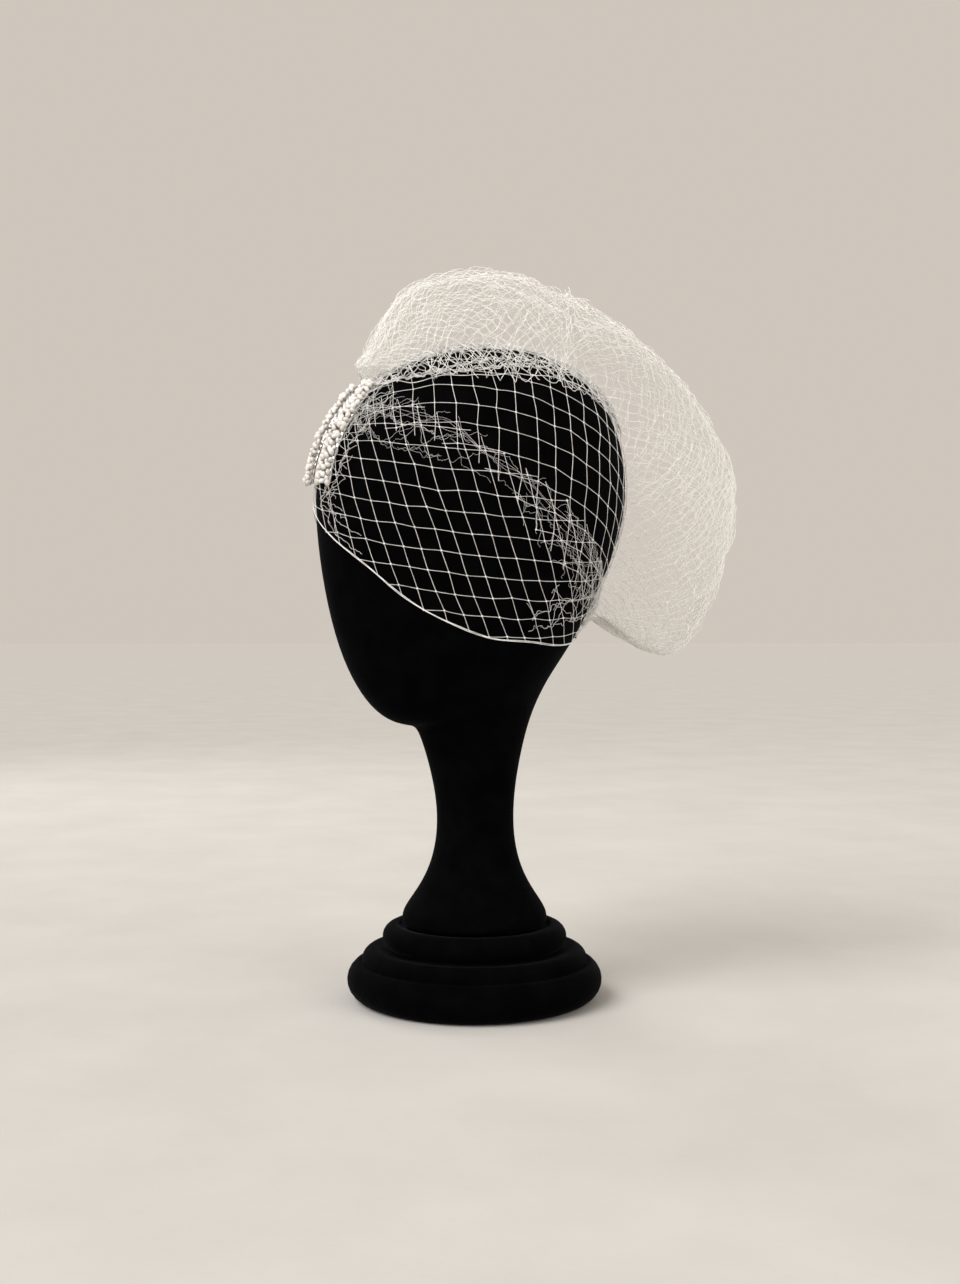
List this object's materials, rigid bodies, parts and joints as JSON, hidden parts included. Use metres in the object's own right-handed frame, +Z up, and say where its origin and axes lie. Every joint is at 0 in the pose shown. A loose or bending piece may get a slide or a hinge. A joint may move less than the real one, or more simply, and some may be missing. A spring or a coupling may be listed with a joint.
{
  "type": "birdcage veil on a velvet display head stand",
  "caption": "Birdcage veil of ivory diamond netting, wrapped round a limbless display head, with a pearl comb and a sheer pouf that stands off the crown and the back.",
  "frame": {"origin": "centre of the foot's underside, on the floor", "axes": "+Z up, -Y to the front of the face, +X to the left side of the head, where the gathered fold is"},
  "size_m": [0.1592, 0.2891, 0.4345],
  "materials": {
    "stand_base": "black velvet over a moulded foot",
    "head_form": "black velvet over a moulded head",
    "veil_left": "ivory diamond netting",
    "veil_fold": "ivory diamond netting, gathered",
    "veil_crown": "ivory diamond netting",
    "veil_right": "ivory diamond netting",
    "pouf_front": "sheer ivory netting, doubled",
    "pouf_back": "sheer ivory netting, doubled",
    "comb_bar": "silver wire comb",
    "pearls_inner": "pearlescent",
    "pearls_outer": "pearlescent"
  },
  "bodies": {
    "root": {"stand_base": "stand_base", "head_form": "head_form", "veil_left": "veil_left", "veil_fold": "veil_fold", "veil_crown": "veil_crown", "veil_right": "veil_right", "pouf_front": "pouf_front", "pouf_back": "pouf_back", "comb_bar": "comb_bar", "pearls_inner": "pearls_inner", "pearls_outer": "pearls_outer"}
  },
  "joints": []
}
